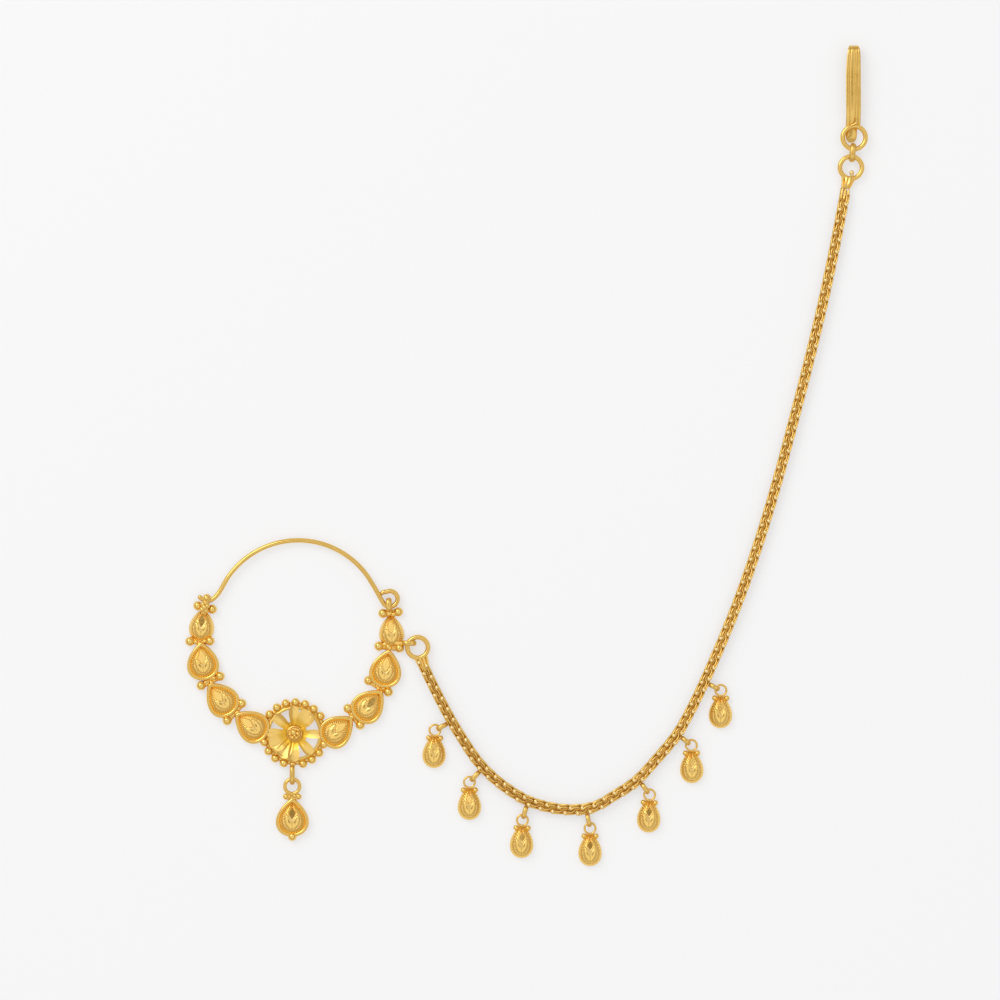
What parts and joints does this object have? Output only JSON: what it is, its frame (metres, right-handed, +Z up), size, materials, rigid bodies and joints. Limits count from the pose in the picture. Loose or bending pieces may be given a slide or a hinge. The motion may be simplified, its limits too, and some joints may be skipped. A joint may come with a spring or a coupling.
{
  "type": "nose ring with hair chain",
  "caption": "Hinged wire hoop closing a crescent of pear settings and a pierced flower, with a pear pendant, a woven side chain hung with small drops, and a ribbed hair hook.",
  "frame": {"origin": "under the middle of the whole outline, on the surface that the piece lies on", "axes": "+Z up out of that surface, towards the side that shows; +Y from the flower towards the nose wire; +X from the hoop towards the chain"},
  "size_m": [0.1228, 0.1476, 0.0026],
  "materials": {
    "gold": "polished and chased yellow gold"
  },
  "bodies": {
    "nose_ring": {"crescent": "gold", "pendant_drop": "gold", "woven_chain": "gold", "nose_side_ring": "gold", "hair_side_ring": "gold", "connecting_link": "gold", "hair_hook": "gold", "drop_eye_1": "gold", "drop_eye_2": "gold", "drop_eye_3": "gold", "drop_eye_4": "gold", "drop_eye_5": "gold", "drop_eye_6": "gold", "drop_eye_7": "gold", "small_drop_1": "gold", "small_drop_2": "gold", "small_drop_3": "gold", "small_drop_4": "gold", "small_drop_5": "gold", "small_drop_6": "gold", "small_drop_7": "gold"},
    "hoop_wire": {"nose_wire": "gold"}
  },
  "joints": [
    {"name": "wire_hinge", "type": "hinge", "parent": "nose_ring", "child": "hoop_wire", "pos_m": [-0.02462, -0.02565, 0.00115], "axis": [0, 0, -1], "range_deg": [0, 160]}
  ]
}
